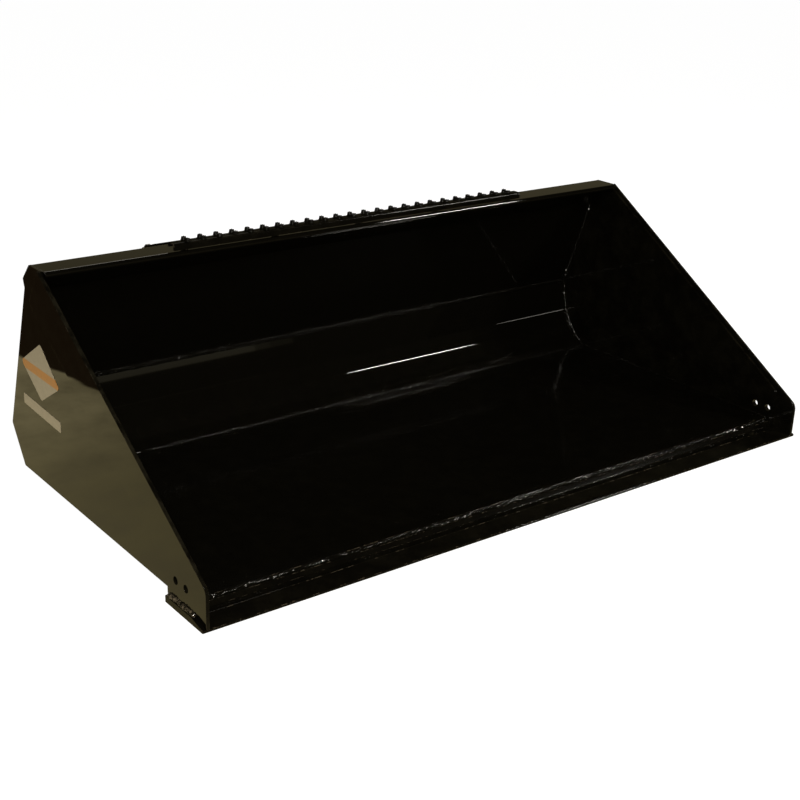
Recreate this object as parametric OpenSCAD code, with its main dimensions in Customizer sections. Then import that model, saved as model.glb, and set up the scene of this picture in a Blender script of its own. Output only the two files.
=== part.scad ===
// Skid steer loader bucket, welded from steel plate, with a universal quick-attach on its back.
// X runs across the bucket, -Y is the open mouth, +Y faces the machine, +Z is up.
// The origin is on the ground, at the middle of the whole bucket's box.
// Side profiles are drawn as [y, z] with y = 0 at the tip of the cutting edge, and turned upright by across().

/* [Cutting edge] */
// Width of the cutting edge, which is the bucket's nominal width
edge_w = 1829; // [1524:1:2134]
// Depth of the cutting edge, front to back
edge_d = 152.4; // [120:0.1:203]
// Thickness of the cutting edge
edge_t = 16; // [12:0.1:25]
// Length of the bevel on the top of the cutting edge
edge_bevel = 42; // [10:1:45]
// Height of the blunt nose left under the bevel
edge_nose = 6; // [3:0.5:10]

/* [Plate] */
// Thickness of the floor, heel, back and side plates
plate_t = 6.35; // [4:0.05:10]
// Thickness of the lip plate between cutting edge and floor
lip_t = 9.4; // [6:0.1:12]
// Distance of the lip plate's toe behind the cutting edge tip
lip_y = 60; // [50:1:80]
// Gap from the cutting edge's end to the side cutter's outer face
ledge_w = 8.5; // [4:0.5:12]
// Leg of the ordinary fillet welds
bead = 6; // [4:0.5:8]

/* [Shell profile] */
// Where the flat floor ends and the heel plate begins
floor_end = 790; // [700:1:850]
// Slope of the heel plate's four flats, in degrees
heel_slopes = [30, 46, 62, 76.5];
// Length of the heel plate's four flats
heel_runs = [38, 46, 46, 92];
// Inside radius of the heel's press-brake bends
bend_r = 12; // [6:1:25]
// Forward lean of the back plate from vertical, in degrees
lean = 19; // [10:0.1:25]
// Height of the bucket's top edge
top_z = 551; // [480:1:620]

/* [Sides] */
// Height of the front corner of the side cutter
corner_z = 92; // [70:1:120]
// Place of the top front corner of the side cutter
brow_y = 729; // [650:1:780]
// Width of the side cutter along the slanted edge
cutter_w = 102; // [75:1:130]
// Thickness of the side cutter
cutter_t = 8; // [6:0.5:12]
// How far the side cutter's front corner is rounded
cutter_r = 26; // [10:1:40]
// Front of the side plate behind the cutting edge tip
side_y = 50; // [35:1:60]
// Underside of the side plate behind the cutting edge
side_z = 22; // [18:0.5:25]
// Rearmost point of the side plate
side_rear = 952; // [935:1:965]
// Height of that rearmost point
side_rear_z = 114; // [90:1:130]
// Rearmost point of the ear that caps the top rail's end
ear_y = 830; // [820:1:840]
// Diameter of the tooth bar holes
hole_d = 17.5; // [13:0.5:22]
// Place of the rear tooth bar hole behind the tip
hole_y = 122; // [110:1:130]
// Distance between the two tooth bar holes
hole_gap = 42; // [36:1:50]
// Height of the tooth bar holes
hole_z = 60.5; // [50:0.5:70]

/* [Top rail and step] */
// Thickness of the formed top rail
rail_t = 5; // [4:0.5:8]
// Front of the rail behind the tip
rail_y = 715; // [690:1:725]
// Depth of the rail's flat top
rail_d = 76; // [70:1:90]
// Height of the rail's upright front lip
rail_lip = 12; // [8:1:30]
// Left end of the step
step_x = -570; // [-620:1:-400]
// Length of the step
step_len = 1086; // [800:1:1150]
// Depth of the step's deck
step_d = 30; // [20:1:45]
// Height of the step's deck above the rail
step_h = 20; // [15:1:40]
// Spacing of the step's grip teeth
tooth_gap = 43.8; // [30:0.1:60]
// Height of the grip teeth above the deck
tooth_h = 9; // [5:0.5:12]

/* [Quick attach] */
// Width over the quick-attach's outer gussets
mount_w = 1156; // [1140:1:1160]
// Distance of the coupler face behind the back plate
mount_u = 42; // [30:1:60]
// Thickness of the formed saddle and lower plate
mount_t = 8; // [6:0.5:12]
// Thickness of the gussets and ribs
gusset_t = 10; // [8:0.5:12]
// Height of the saddle's top along the back plate, above the heel weld
saddle_v = 320; // [300:1:330]
// Distance of the lower flange down the back plate, below the heel weld
flange_v = 104; // [80:1:120]
// Depth of the slotted lower flange
flange_d = 38; // [30:1:45]
// Width of a lock pin slot
slot_w = 64; // [50:1:75]
// Distance between the two lock pin slots, centre to centre
slot_gap = 1000; // [950:1:1020]

/* [Wear bars] */
// Width of a wear bar
bar_w = 76; // [50:1:100]
// Distance between neighbouring wear bars, centre to centre
bar_gap = 520; // [400:1:560]

/* [Hidden] */
$fn = 48;
black = [0.05, 0.048, 0.04];
bare = [0.16, 0.15, 0.13];
pale = [0.85, 0.84, 0.8];
BEND_STEPS = 5;
FEET = 5;
label_t = 0.8;
cutter_x = edge_w / 2 - ledge_w;
side_x = cutter_x - cutter_t;
inner_x = side_x - plate_t;
floor_z = edge_t + lip_t;
deck_z = floor_z + plate_t;
floor_y = lip_y + lip_t + 9;
slant = atan2(top_z - corner_z, brow_y);
tan_lean = tan(lean);
heel_path = walk([floor_end, deck_z], heel_runs, heel_slopes);
heel_top = heel_path[len(heel_path) - 1];
rail_foot_z = top_z - 69;
back_top_z = top_z - 16;
seat = heel_top + plate_t * [cos(lean), sin(lean)];
rail_back = rail_y + rail_d;
ear_drop = 41;
rail_r = 2;
tuck_z = top_z - 60;
gusset_x = mount_w / 2 - gusset_t;
rib_x = 190;
slot_u = mount_u + 21;
slot_d = 26;
total_d = on_back(mount_u + flange_d, -flange_v - mount_t)[0];
tooth_count = floor((step_len - 46) / tooth_gap) + 1;
step_z = top_z + step_h;
step_t = 4;
ledge_bead = 7;
cutter_bead = 5;
step_bead = 4;

// Points reached from start by walking each run at its own slope.
function walk(start, runs, slopes, i = 0) =
    i == len(runs) ? [start]
    : concat([start], walk(start + runs[i] * [cos(slopes[i]), sin(slopes[i])], runs, slopes, i + 1));

// Unit vector from a to b.
function toward(a, b) = (b - a) / norm(b - a);

// Normal on the right-hand side of a direction.
function right_of(d) = [d[1], -d[0]];

// Point i of a path, moved off to the right by t and mitred at the corners.
function shifted(path, i, t) =
    let(n1 = right_of(i == 0 ? toward(path[0], path[1]) : toward(path[i - 1], path[i])),
        n2 = right_of(i == len(path) - 1 ? toward(path[i - 1], path[i]) : toward(path[i], path[i + 1])))
    path[i] + (n1 + n2) * t / (1 + n1 * n2);

// A whole path moved off to the right by t.
function beside(path, t) = [for (i = [0 : len(path) - 1]) shifted(path, i, t)];

// The corner b between a and c as an arc of radius r.
function arc_corner(a, b, c, r) =
    let(u = toward(b, a), w = toward(b, c), half = acos(u * w) / 2,
        mid = b + (u + w) / norm(u + w) * r / sin(half),
        p = b + u * r / tan(half) - mid, q = b + w * r / tan(half) - mid,
        turn = atan2(p[0] * q[1] - p[1] * q[0], p * q))
    [for (k = [0 : BEND_STEPS]) let(s = turn * k / BEND_STEPS)
        mid + [p[0] * cos(s) - p[1] * sin(s), p[0] * sin(s) + p[1] * cos(s)]];

// An open path with its inner corners rounded by r.
function bent(path, r) = [for (i = [0 : len(path) - 1])
    each (i == 0 || i == len(path) - 1 ? [path[i]] : arc_corner(path[i - 1], path[i], path[i + 1], r))];

// A closed outline whose corner i is rounded by radii[i], where 0 leaves it sharp.
function rounded(points, radii) = let(n = len(points)) [for (i = [0 : n - 1])
    each (radii[i] == 0 ? [points[i]]
        : arc_corner(points[(i + n - 1) % n], points[i], points[(i + 1) % n], radii[i]))];

function reversed(list) = [for (i = [len(list) - 1 : -1 : 0]) list[i]];

// Inner face of the back plate at height z.
function back_y(z) = heel_top[0] - (z - heel_top[1]) * tan_lean;

// Rear edge of the side plate at height z.
function rear_y(z) = side_rear - (z - side_rear_z) * tan_lean;

// Height of the side cutter's slanted front line at y.
function slant_z(y) = corner_z + y * tan(slant);

// Point u behind the back plate's outer face and v up along it from the heel weld.
function on_back(u, v) = seat + u * [cos(lean), sin(lean)] + v * [-sin(lean), cos(lean)];

// The same for a list of points.
function all_on_back(points) = [for (p = points) on_back(p[0], p[1])];

// Stands a [y, z] profile upright and gives it width w across the bucket, centred on x.
module across(x, w) {
    translate([x - w / 2, -total_d / 2, 0]) rotate([90, 0, 90]) linear_extrude(w) children();
}

// A block from corner a to corner b, where y counts from the cutting edge tip.
module block(a, b) {
    translate([a[0], a[1] - total_d / 2, a[2]]) cube(b - a);
}

// ---- Side profiles ----

module edge_profile() {
    polygon([[0, 0], [edge_d, 0], [edge_d, edge_t], [edge_bevel, edge_t], [0, edge_nose]]);
}

module heel_profile() {
    polygon(concat(bent(heel_path, bend_r), reversed(bent(beside(heel_path, plate_t), bend_r + plate_t))));
}

module back_profile() {
    foot = heel_top;
    head = [back_y(back_top_z), back_top_z];
    polygon(concat([foot, head], reversed(beside([foot, head], plate_t))));
}

rail_path = [[back_y(rail_foot_z) + 2, rail_foot_z], [rail_y, top_z - rail_lip], [rail_y, top_z],
    [rail_back, top_z], [ear_y - 1, top_z - ear_drop + 1], [back_y(tuck_z) + 5, tuck_z]];

module rail_profile() {
    difference() {
        polygon(concat(bent(rail_path, rail_r + rail_t), reversed(bent(beside(rail_path, rail_t), rail_r))));
        back_profile();
    }
}

// Everything enclosed by the shell's outer faces, cut away from what is welded on behind it.
module shell_mass() {
    polygon(concat([[300, 300]], bent(beside(concat(heel_path, [[back_y(top_z), top_z]]), plate_t), 6)));
    polygon(rail_path);
}

side_outline = [[side_y, edge_t], [edge_d + 8, edge_t], [edge_d + 8, side_z], [side_rear - 64, side_z],
    [side_rear, side_rear_z], [rear_y(tuck_z - 2), tuck_z - 2], [ear_y, top_z - ear_drop], [rail_back, top_z],
    [brow_y, top_z], [brow_y - 5, slant_z(brow_y - 5) - 9], [side_y + 12, slant_z(side_y + 12) - 16]];

module side_profile() {
    difference() {
        polygon(rounded(side_outline, [0, 0, 0, 4, 6, 2, 5, 3, 0, 0, 24]));
        bolt_holes();
    }
}

module cutter_profile() {
    inner_drop = cutter_w / cos(slant);
    heel = edge_d + 5;
    end_run = cutter_w * [sin(slant), -cos(slant)];
    difference() {
        polygon(rounded([[0, 0], [heel, 0], [heel, slant_z(heel) - inner_drop],
            [brow_y, top_z] + end_run, [brow_y, top_z], [0, corner_z]], [0, 0, 30, 8, 0, cutter_r]));
        edge_profile();
        square([heel + 1, edge_nose]);
        translate([edge_d, 0]) square([20, edge_t]);
        bolt_holes();
    }
}

module bolt_holes() {
    for (y = [hole_y - hole_gap, hole_y]) translate([y, hole_z]) circle(d = hole_d);
}

// ---- Wearing front ----

module cutting_edge() {
    color(black) across(0, edge_w) edge_profile();
}

module lip_plate() {
    color(black) across(0, 2 * inner_x)
        polygon([[lip_y, edge_t], [edge_d, edge_t], [edge_d, floor_z], [lip_y + lip_t, floor_z]]);
}

// ---- Shell ----

module floor_plate() {
    color(black) block([-inner_x, floor_y, floor_z], [inner_x, floor_end, deck_z]);
}

module heel_plate() {
    color(black) across(0, 2 * inner_x) heel_profile();
}

module back_plate() {
    color(black) across(0, 2 * inner_x) back_profile();
}

module side_plate(side) {
    color(black) across(side * (inner_x + plate_t / 2), plate_t) side_profile();
}

module side_cutter(side) {
    color(black) across(side * (side_x + cutter_t / 2), cutter_t) cutter_profile();
}

// ---- Rail and step ----

module top_rail() {
    color(black) across(0, 2 * inner_x) rail_profile();
}

step_mid = step_x + step_len / 2;
step_front = rail_y + 2;

module step_tread() {
    path = [[step_front, top_z + 3], [step_front, step_z], [step_front + step_d, step_z],
        [step_front + step_d, top_z + 8]];
    color(bare) across(step_mid, step_len)
        polygon(concat(bent(path, 2 + step_t), reversed(bent(beside(path, step_t), 2))));
}

// Two rows of blunt pressed teeth along the deck's edges.
module step_teeth() {
    first = step_mid - (tooth_count - 1) * tooth_gap / 2;
    color(bare) for (i = [0 : tooth_count - 1]) for (y = [step_front + 6, step_front + step_d - 6])
        translate([first + i * tooth_gap, y - total_d / 2, step_z])
            cylinder(h = tooth_h, d1 = 11, d2 = 5, $fn = 16);
}

foot_t = 10;

// Left face of the step's foot i.
function foot_x(i) = step_x + 30 + i * (step_len - 60 - foot_t) / (FEET - 1);

// Short flats that hold the step off the rail.
module step_feet() {
    color(black) for (i = [0 : FEET - 1])
        block([foot_x(i), step_front + step_t + 2, top_z],
              [foot_x(i) + foot_t, step_front + step_d - step_t - 2, step_z - step_t]);
}

// ---- Wear bars ----

module wear_bar(i) {
    x = (i - 1.5) * bar_gap;
    color(black) across(x, bar_w)
        polygon([[edge_d + 14, 0], [floor_end - 30, 0], [floor_end - 2, floor_z], [edge_d + 14, floor_z]]);
}

// ---- Quick attach ----

saddle_lip = 45;
lip_angle = 50;

module gusset_profile() {
    far = mount_u + flange_d - 3;
    difference() {
        polygon(all_on_back(rounded([[-75, -flange_v - 12], [far, -flange_v - 12], [far, -flange_v + 6],
            [mount_u, -flange_v + 60], [mount_u, saddle_v - 34], [mount_u + 18, saddle_v - 10],
            [mount_u + 8, saddle_v + 11], [-30, saddle_v + 11]], [0, 8, 8, 20, 12, 12, 14, 0])));
        shell_mass();
    }
}

module mount_gusset(side) {
    color(black) across(side * (gusset_x + gusset_t / 2), gusset_t) gusset_profile();
}

module mount_rib(side) {
    color(black) across(side * rib_x, gusset_t) difference() {
        polygon(all_on_back([[-75, -flange_v + 10], [mount_u - mount_t, -flange_v + 10],
            [mount_u - mount_t, saddle_v - 4], [-20, saddle_v - 4]]));
        shell_mass();
    }
}

module mount_saddle() {
    path = all_on_back([[mount_u, saddle_v - 110], [mount_u, saddle_v],
        [mount_u + saddle_lip * sin(lip_angle), saddle_v - saddle_lip * cos(lip_angle)]]);
    color(black) across(0, 2 * gusset_x)
        polygon(concat(path, reversed(beside(path, -mount_t))));
}

module mount_lower_plate() {
    path = all_on_back([[mount_u, -flange_v + 90], [mount_u, -flange_v], [mount_u + flange_d, -flange_v]]);
    difference() {
        color(black) across(0, 2 * gusset_x)
            polygon(concat(path, reversed(beside(path, mount_t))));
        for (side = [-1, 1]) across(side * slot_gap / 2, slot_w)
            polygon(all_on_back([for (c = [[-1, -1], [1, -1], [1, 1], [-1, 1]])
                [slot_u + c[0] * slot_d / 2, -flange_v + c[1] * 20]]));
    }
}

// ---- Weld beads ----

module weld_floor_front() {
    color(black) across(0, 2 * (inner_x - bead))
        polygon([[floor_y - plate_t, floor_z], [floor_y, floor_z], [floor_y, deck_z]]);
}

module weld_floor_heel() {
    color(black) across(0, 2 * (inner_x - bead))
        polygon([[floor_end - bead, deck_z], [floor_end, deck_z],
            [floor_end, deck_z] + bead * toward(heel_path[0], heel_path[1])]);
}

module weld_heel_back() {
    last = len(heel_path) - 1;
    color(black) across(0, 2 * (inner_x - bead))
        polygon([heel_top - bead * toward(heel_path[last - 1], heel_top), heel_top,
            heel_top + bead * [-sin(lean), cos(lean)]]);
}

// Bead that follows the floor, heel and back along the inner face of a side plate.
module weld_inside(side) {
    path = concat([[floor_y, deck_z]], heel_path, [[back_y(rail_foot_z - 8), rail_foot_z - 8]]);
    color(black) across(side * (inner_x - bead / 2), bead) difference() {
        polygon(concat(path, reversed(beside(path, -bead))));
        heel_profile();
        back_profile();
    }
}

module weld_ledge(side) {
    color(black) translate([0, edge_bevel + 2 - total_d / 2, edge_t]) mirror([side < 0 ? 1 : 0, 0, 0])
        rotate([90, 0, 0]) mirror([0, 0, 1]) linear_extrude(edge_d - edge_bevel - 4)
            polygon([[cutter_x, 0], [cutter_x + ledge_bead, 0], [cutter_x, ledge_bead]]);
}

// Bead along the side cutter's rear edge, on the outside of the side plate.
module weld_cutter(side) {
    start = [edge_d + 45, slant_z(edge_d + 45) - cutter_w / cos(slant)];
    run = (brow_y - edge_d - 60) / cos(slant);
    color(black) translate([side * side_x, start[0] - total_d / 2, start[1]]) rotate([slant, 0, 0])
        rotate([-90, 0, 0]) linear_extrude(run) polygon([[0, 0], [side * cutter_bead, 0], [0, cutter_bead]]);
}

module weld_wear_bars() {
    color(black) for (i = [0 : 3]) for (side = [-1, 1])
        translate([(i - 1.5) * bar_gap + side * bar_w / 2, edge_d + 20 - total_d / 2, floor_z])
            rotate([-90, 0, 0]) linear_extrude(floor_end - edge_d - 70)
                polygon([[0, 0], [side * bead, 0], [0, bead]]);
}

// Beads down both faces of the outer gussets and ribs, against the back plate.
module weld_mount() {
    faces = [for (s = [-1, 1]) each [[s * (gusset_x + gusset_t), s], [s * gusset_x, -s],
        [s * (rib_x + gusset_t / 2), s], [s * (rib_x - gusset_t / 2), -s]]];
    color(black) for (f = faces)
        translate([f[0], seat[0] - total_d / 2, seat[1]]) rotate([lean, 0, 0])
            translate([0, 0, 14]) linear_extrude(rail_foot_z - heel_top[1] - 16)
                polygon([[0, 0], [f[1] * bead, 0], [0, bead]]);
}

module weld_step() {
    color(black) for (i = [0 : FEET - 1])
        translate([foot_x(i) + foot_t, step_front + step_t + 3 - total_d / 2, top_z])
            rotate([90, 0, 0]) mirror([0, 0, 1]) linear_extrude(step_d - 2 * step_t - 6)
                polygon([[0, 0], [step_bead, 0], [0, step_bead]]);
}

// ---- Plain labels ----

module side_label() {
    color(pale) across(-side_x - label_t / 2, label_t)
        polygon(rounded([[762, 232], [867, 302], [754, 373], [660, 293]], [8, 8, 8, 8]));
}

module side_stripe() {
    color(pale) across(-side_x - label_t / 2, label_t)
        polygon(rounded([[664, 186], [866, 194], [866, 220], [664, 212]], [3, 3, 3, 3]));
}

cutting_edge();
lip_plate();
floor_plate();
heel_plate();
back_plate();
side_plate(-1);  // side_plate_left
side_plate(1);  // side_plate_right
side_cutter(-1);  // side_cutter_left
side_cutter(1);  // side_cutter_right
top_rail();
step_tread();
step_teeth();
step_feet();
wear_bar(0);  // wear_bar_1
wear_bar(1);  // wear_bar_2
wear_bar(2);  // wear_bar_3
wear_bar(3);  // wear_bar_4
mount_gusset(-1);  // mount_gusset_left
mount_gusset(1);  // mount_gusset_right
mount_rib(-1);  // mount_rib_left
mount_rib(1);  // mount_rib_right
mount_saddle();
mount_lower_plate();
weld_floor_front();
weld_floor_heel();
weld_heel_back();
weld_inside(-1);  // weld_inside_left
weld_inside(1);  // weld_inside_right
weld_ledge(-1);  // weld_ledge_left
weld_ledge(1);  // weld_ledge_right
weld_cutter(-1);  // weld_cutter_left
weld_cutter(1);  // weld_cutter_right
weld_wear_bars();
weld_mount();
weld_step();
side_label();
side_stripe();
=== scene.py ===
"""Finished look of a welded skid steer bucket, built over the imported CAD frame."""

import logging
import math
import random
from collections.abc import Callable, Iterable
from dataclasses import dataclass, field
from enum import Enum

import bmesh
import bpy
from mathutils import Matrix, Vector, noise


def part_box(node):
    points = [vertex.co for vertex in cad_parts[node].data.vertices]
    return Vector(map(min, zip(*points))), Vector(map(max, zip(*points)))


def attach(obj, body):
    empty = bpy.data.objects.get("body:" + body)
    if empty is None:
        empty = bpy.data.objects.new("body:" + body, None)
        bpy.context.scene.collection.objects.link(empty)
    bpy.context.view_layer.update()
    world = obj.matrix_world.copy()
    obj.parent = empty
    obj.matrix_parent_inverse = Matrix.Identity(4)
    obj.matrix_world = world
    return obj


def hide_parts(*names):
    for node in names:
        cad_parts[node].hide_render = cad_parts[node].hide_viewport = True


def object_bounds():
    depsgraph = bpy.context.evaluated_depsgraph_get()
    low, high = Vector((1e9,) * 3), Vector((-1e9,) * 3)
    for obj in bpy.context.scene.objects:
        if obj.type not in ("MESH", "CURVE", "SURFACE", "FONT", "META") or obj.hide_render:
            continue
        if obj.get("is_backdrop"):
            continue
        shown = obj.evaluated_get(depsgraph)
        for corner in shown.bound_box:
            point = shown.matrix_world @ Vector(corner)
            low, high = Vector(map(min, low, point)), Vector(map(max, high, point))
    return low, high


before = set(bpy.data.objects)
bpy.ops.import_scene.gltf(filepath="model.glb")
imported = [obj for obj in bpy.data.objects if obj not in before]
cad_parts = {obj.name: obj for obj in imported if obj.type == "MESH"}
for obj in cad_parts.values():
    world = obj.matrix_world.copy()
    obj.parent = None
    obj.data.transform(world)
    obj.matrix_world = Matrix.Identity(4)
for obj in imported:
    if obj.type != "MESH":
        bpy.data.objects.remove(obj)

log = logging.getLogger("bucket")

MM = 0.001
BODY = "root"
# Forward lean of the bucket's back, in degrees.
BACK_LEAN = 19.0


class Slot(Enum):
    """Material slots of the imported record."""

    SHELL = "shell_paint"
    EDGE = "edge"
    STEP = "step"
    WELD = "weld_bead"
    LABEL = "label"


class Side(Enum):
    """The two ends of the bucket, by the sign of X."""

    LEFT = -1
    RIGHT = 1

    @property
    def word(self) -> str:
        """The side's name as it stands in node names."""
        return self.name.lower()


# ---------------------------------------------------------------- node groups


@dataclass
class NodeSheet:
    """A node tree with short calls for adding and joining nodes.

    Attributes:
        tree: The node tree that is being filled.
    """

    tree: bpy.types.NodeTree

    def add(self, kind: str, label: str = "", **values: object) -> bpy.types.Node:
        """Adds one node.

        Args:
            kind: The node's type name.
            label: The name shown on the node.
            **values: Properties to set on the node.

        Returns:
            The new node.
        """
        node = self.tree.nodes.new(kind)
        if label:
            node.label = label
        for key, value in values.items():
            setattr(node, key, value)
        return node

    def join(self, source: bpy.types.NodeSocket, target: bpy.types.NodeSocket) -> None:
        """Links one socket to another."""
        self.tree.links.new(source, target)

    def feed(self, socket: bpy.types.NodeSocket, value: object) -> None:
        """Gives a socket either a link or a plain value."""
        if isinstance(value, bpy.types.NodeSocket):
            self.join(value, socket)
        else:
            socket.default_value = value

    def here(self) -> bpy.types.NodeSocket:
        """The place on the object."""
        return self.add("ShaderNodeTexCoord").outputs["Object"]

    def split(self, vector: bpy.types.NodeSocket) -> bpy.types.bpy_prop_collection:
        """A vector's X, Y and Z sockets."""
        node = self.add("ShaderNodeSeparateXYZ")
        self.join(vector, node.inputs[0])
        return node.outputs

    def times(self, first: object, second: object) -> bpy.types.NodeSocket:
        """The product of two sockets or numbers."""
        return self.math("MULTIPLY", first, second)

    def plus(self, first: object, second: object) -> bpy.types.NodeSocket:
        """The sum of two sockets or numbers."""
        return self.math("ADD", first, second)

    def most(self, first: object, second: object) -> bpy.types.NodeSocket:
        """The greater of two sockets or numbers."""
        return self.math("MAXIMUM", first, second)

    def math(self, operation: str, first: object, second: object = 0.0) -> bpy.types.NodeSocket:
        """A Math node's result.

        Args:
            operation: The Math node's operation.
            first: Socket or number.
            second: Socket or number.

        Returns:
            The value socket.
        """
        node = self.add("ShaderNodeMath", operation=operation)
        self.feed(node.inputs[0], first)
        self.feed(node.inputs[1], second)
        return node.outputs[0]

    def noise(self, where: object, scale: object, detail: float, rough: float = 0.5) -> bpy.types.NodeSocket:
        """A Noise Texture's factor.

        Args:
            where: Vector socket.
            scale: Socket or number, in cycles per metre.
            detail: Octaves.
            rough: Roughness of the octaves.

        Returns:
            The factor socket.
        """
        node = self.add("ShaderNodeTexNoise")
        self.feed(node.inputs["Vector"], where)
        self.feed(node.inputs["Scale"], scale)
        node.inputs["Detail"].default_value = detail
        node.inputs["Roughness"].default_value = rough
        return node.outputs["Fac"]

    def ramp(self, value: object, low: object, high: object) -> bpy.types.NodeSocket:
        """A smooth step from 0 at low to 1 at high.

        Args:
            value: Socket to map.
            low: Socket or number.
            high: Socket or number.

        Returns:
            The value socket.
        """
        node = self.add("ShaderNodeMapRange", interpolation_type="SMOOTHSTEP")
        self.feed(node.inputs["Value"], value)
        self.feed(node.inputs["From Min"], low)
        self.feed(node.inputs["From Max"], high)
        return node.outputs["Result"]

    def blend(self, factor: object, first: object, second: object) -> bpy.types.NodeSocket:
        """A colour mix.

        Args:
            factor: Socket or number.
            first: Colour socket or RGBA.
            second: Colour socket or RGBA.

        Returns:
            The colour socket.
        """
        node = self.add("ShaderNodeMix", data_type="RGBA")
        self.feed(node.inputs["Factor"], factor)
        self.feed(node.inputs[6], first)
        self.feed(node.inputs[7], second)
        return node.outputs[2]

    def emboss(self, shader: bpy.types.Node, height: bpy.types.NodeSocket, depth: float) -> None:
        """Gives a shader a bump.

        Args:
            shader: The shader.
            height: Height socket.
            depth: Depth of the bump, in metres.
        """
        bump = self.add("ShaderNodeBump")
        bump.inputs["Distance"].default_value = depth
        bump.inputs["Strength"].default_value = 1.0
        self.join(height, bump.inputs["Height"])
        self.join(bump.outputs["Normal"], shader.inputs["Normal"])


def fresh_material(name: str) -> tuple[bpy.types.Material, NodeSheet, bpy.types.Node]:
    """Starts a material.

    Args:
        name: The material's name.

    Returns:
        The material, its sheet and its shader.
    """
    material = bpy.data.materials.new(name)
    material.use_nodes = True
    nodes = material.node_tree.nodes
    return material, NodeSheet(material.node_tree), nodes["Principled BSDF"]


class GroupShelf:
    """The effects that several finishes share, each built once as a node group."""

    def __init__(self) -> None:
        """Builds every group."""
        self.peel = self._orange_peel()
        self.dust = self._settled_dust()
        self.rub = self._rubbed_rim()
        self.scuff = self._long_scuffs()

    @staticmethod
    def _start(name: str, inputs: dict[str, float], outputs: Iterable[str]) -> tuple:
        """Makes an empty group with float sockets.

        Args:
            name: The group's name.
            inputs: Input names and their defaults.
            outputs: Output names.

        Returns:
            The group, its sheet, its input node and its output node.
        """
        group = bpy.data.node_groups.new(name, "ShaderNodeTree")
        for key, value in inputs.items():
            socket = group.interface.new_socket(key, in_out="INPUT", socket_type="NodeSocketFloat")
            socket.default_value = value
        for key in outputs:
            group.interface.new_socket(key, in_out="OUTPUT", socket_type="NodeSocketFloat")
        sheet = NodeSheet(group)
        return group, sheet, sheet.add("NodeGroupInput"), sheet.add("NodeGroupOutput")

    def _orange_peel(self) -> bpy.types.NodeTree:
        """Fine orange peel of sprayed paint on gently wavy plate.

        Returns:
            The group, with outputs Height and Haze.
        """
        inputs = {"Peel Scale": 420.0, "Peel": 0.4, "Wave Scale": 5.0, "Wave": 1.0}
        group, sheet, start, end = self._start("orange peel", inputs, ("Height", "Haze"))
        where = sheet.here()
        fine = sheet.noise(where, start.outputs["Peel Scale"], 2.0)
        wave = sheet.noise(where, start.outputs["Wave Scale"], 1.0)
        fine_part = sheet.times(fine, start.outputs["Peel"])
        wave_part = sheet.times(wave, start.outputs["Wave"])
        sheet.join(sheet.plus(fine_part, wave_part), end.inputs["Height"])
        cloud = sheet.noise(where, 9.0, 4.0, 0.6)
        sheet.join(sheet.ramp(cloud, 0.35, 0.75), end.inputs["Haze"])
        return group

    def _settled_dust(self) -> bpy.types.NodeTree:
        """Dust that lies thicker on faces that look up.

        Returns:
            The group, with output Mask.
        """
        inputs = {"Amount": 0.3, "Scale": 22.0, "Lift": 0.25}
        group, sheet, start, end = self._start("settled dust", inputs, ("Mask",))
        where = sheet.here()
        patch = sheet.ramp(sheet.noise(where, start.outputs["Scale"], 6.0, 0.65), 0.36, 0.72)
        speck = sheet.ramp(sheet.noise(where, 640.0, 1.0), 0.62, 0.78)
        normal = sheet.split(sheet.add("ShaderNodeNewGeometry").outputs["Normal"])
        up = sheet.ramp(normal["Z"], 0.1, 0.95)
        facing = sheet.most(up, start.outputs["Lift"])
        both = sheet.plus(patch, sheet.times(speck, 0.5))
        mask = sheet.times(sheet.times(both, facing), start.outputs["Amount"])
        sheet.join(mask, end.inputs["Mask"])
        return group

    def _rubbed_rim(self) -> bpy.types.NodeTree:
        """Broken rubbing of the paint along bevelled edges, from the mesh's rim attribute.

        Returns:
            The group, with output Mask.
        """
        inputs = {"Amount": 0.5, "Scale": 55.0}
        group, sheet, start, end = self._start("rubbed rim", inputs, ("Mask",))
        where = sheet.here()
        rim = sheet.add("ShaderNodeAttribute", attribute_name="rim").outputs["Fac"]
        broken = sheet.ramp(sheet.noise(where, start.outputs["Scale"], 5.0, 0.7), 0.5, 0.62)
        worn = sheet.times(rim, broken)
        sheet.join(sheet.times(worn, start.outputs["Amount"]), end.inputs["Mask"])
        return group

    def _long_scuffs(self) -> bpy.types.NodeTree:
        """Long faint scuffs that run across the bucket.

        Returns:
            The group, with output Mask.
        """
        inputs = {"Amount": 0.3, "Stretch": 14.0, "Scale": 300.0}
        group, sheet, start, end = self._start("long scuffs", inputs, ("Mask",))
        where = sheet.split(sheet.here())
        joined = sheet.add("ShaderNodeCombineXYZ")
        sheet.join(sheet.math("DIVIDE", where["X"], start.outputs["Stretch"]), joined.inputs["X"])
        sheet.join(where["Y"], joined.inputs["Y"])
        sheet.join(where["Z"], joined.inputs["Z"])
        streak = sheet.noise(joined.outputs[0], start.outputs["Scale"], 3.0, 0.6)
        mask = sheet.times(sheet.ramp(streak, 0.55, 0.75), start.outputs["Amount"])
        sheet.join(mask, end.inputs["Mask"])
        return group


# ---------------------------------------------------------------- finishes

Colour = tuple[float, float, float, float]


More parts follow.
